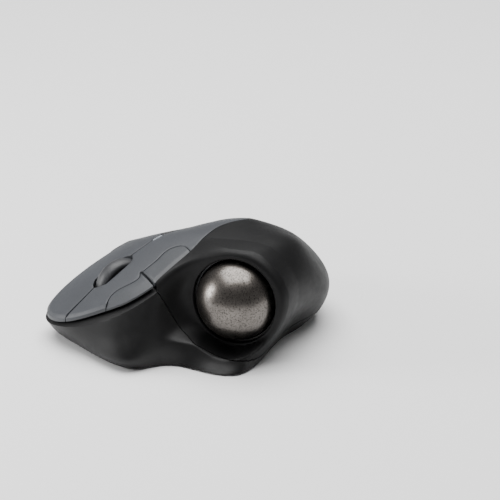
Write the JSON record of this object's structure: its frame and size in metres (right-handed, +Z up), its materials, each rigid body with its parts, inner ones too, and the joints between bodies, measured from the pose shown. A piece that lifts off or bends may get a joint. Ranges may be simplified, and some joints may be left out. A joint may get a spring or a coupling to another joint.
{
  "type": "thumb trackball mouse",
  "caption": "Right-handed wireless trackball mouse with a thumb ball, keys, side buttons, a tilting scroll wheel, a stowed receiver and a hinged battery door.",
  "frame": {"origin": "on the table under the middle of the body", "axes": "+Z up, -Y towards the nose, +X towards the thumb side"},
  "size_m": [0.0937, 0.1214, 0.048],
  "materials": {
    "upper_shell": "fine matte black with a soft sheen",
    "lower_shell": "fine matte black",
    "battery_door": "fine matte black",
    "keys": "satin slate grey paint",
    "speed_button": "dark satin",
    "light_lens": "milky light pipe",
    "wheel_rubber": "smooth dark grey rubber",
    "dark_plastic": "moulded dark plastic",
    "components": "component housings",
    "board": "green solder mask",
    "ribbon": "pale ribbon cable",
    "ball": "dark gunmetal, finely speckled",
    "bead": "polished ruby bead",
    "sensor_lens": "clear moulded lens",
    "cell": "printed cell jacket, plain",
    "contacts": "nickel-plated spring steel",
    "screws": "zinc-plated steel",
    "receiver": "dark plastic",
    "plug": "plated plug shell",
    "knob": "grey knob",
    "feet": "slick low-friction pads"
  },
  "bodies": {
    "case": {"top_shell": "upper_shell", "base_shell": "lower_shell", "status_light_lens": "light_lens", "button_board": "board", "speed_switch": "components", "ribbon_cable": "ribbon", "main_board": "board", "board_screw_1": "screws", "board_screw_2": "screws", "middle_switch": "components", "left_switch": "components", "right_switch": "components", "forward_switch": "components", "back_switch": "components", "ball_cup": "dark_plastic", "support_ball_1": "bead", "support_ball_2": "bead", "support_ball_3": "bead", "sensor_lens": "sensor_lens", "sensor_chip": "components", "sensor_board": "board", "battery": "cell", "battery_spring": "contacts", "battery_contact": "contacts", "power_switch_body": "components", "shell_screw_1": "screws", "shell_screw_2": "screws", "shell_screw_3": "screws", "shell_screw_4": "screws", "foot_1": "feet", "foot_2": "feet", "foot_3": "feet", "foot_4": "feet", "foot_5": "feet"},
    "left_key": {"left_key": "keys"},
    "right_key": {"right_key": "keys"},
    "forward_button": {"forward_button": "keys"},
    "back_button": {"back_button": "keys"},
    "pointer_speed_button": {"pointer_speed_button": "speed_button"},
    "cradle": {"wheel_cradle": "dark_plastic", "tilt_switch_left": "components", "tilt_switch_right": "components"},
    "yoke": {"wheel_yoke": "dark_plastic", "scroll_encoder": "components"},
    "wheel": {"wheel_tyre": "wheel_rubber", "wheel_hub": "dark_plastic"},
    "ball": {"ball": "ball"},
    "battery_door": {"battery_door": "battery_door"},
    "power_knob": {"power_switch_knob": "knob"},
    "receiver": {"receiver_body": "receiver", "receiver_plug": "plug"}
  },
  "joints": [
    {"name": "left_key_press", "type": "hinge", "parent": "case", "child": "left_key", "pos_m": [-0.008, 0.026, 0.036], "axis": [1, 0, 0], "range_deg": [0, 0.56], "stiffness_Nm_per_rad": 3, "springref_deg": -0.17},
    {"name": "right_key_press", "type": "hinge", "parent": "case", "child": "right_key", "pos_m": [-0.008, 0.026, 0.036], "axis": [1, 0, 0], "range_deg": [0, 0.56], "stiffness_Nm_per_rad": 3, "springref_deg": -0.17},
    {"name": "forward_button_press", "type": "slide", "parent": "case", "child": "forward_button", "axis": [0, 0, -1], "range_m": [0, 0.0005], "stiffness_N_per_m": 600, "springref_m": -0.0004},
    {"name": "back_button_press", "type": "slide", "parent": "case", "child": "back_button", "axis": [0, 0, -1], "range_m": [0, 0.0005], "stiffness_N_per_m": 600, "springref_m": -0.0004},
    {"name": "speed_button_press", "type": "slide", "parent": "case", "child": "pointer_speed_button", "axis": [0, 0, -1], "range_m": [0, 0.0005], "stiffness_N_per_m": 600, "springref_m": -0.0004},
    {"name": "wheel_press", "type": "slide", "parent": "case", "child": "cradle", "axis": [0, 0, -1], "range_m": [0, 0.0006], "stiffness_N_per_m": 900, "springref_m": -0.0004},
    {"name": "wheel_tilt", "type": "hinge", "parent": "cradle", "child": "yoke", "pos_m": [-0.01693, -0.02905, 0.02212], "axis": [-0.1135, 0.8857, 0.4502], "range_deg": [-3.5, 3.5], "stiffness_Nm_per_rad": 0.4},
    {"name": "wheel_spin", "type": "hinge", "parent": "yoke", "child": "wheel", "pos_m": [-0.01693, -0.02905, 0.02212], "axis": [0.9919, 0.1271, 0], "continuous": true},
    {"name": "ball_roll", "type": "hinge", "parent": "case", "child": "ball", "pos_m": [0.027, 0.0032, 0.026], "axis": [0.7771, 0.6293, 0], "continuous": true},
    {"name": "battery_door_swing", "type": "hinge", "parent": "case", "child": "battery_door", "pos_m": [-0.0308, 0.0282, 0.0018], "axis": [1, 0, 0], "range_deg": [0, 60]},
    {"name": "power_switch_slide", "type": "slide", "parent": "case", "child": "power_knob", "axis": [1, 0, 0], "range_m": [0, 0.003]},
    {"name": "receiver_pull", "type": "slide", "parent": "case", "child": "receiver", "axis": [0, 0, -1], "range_m": [0, 0.019]}
  ]
}
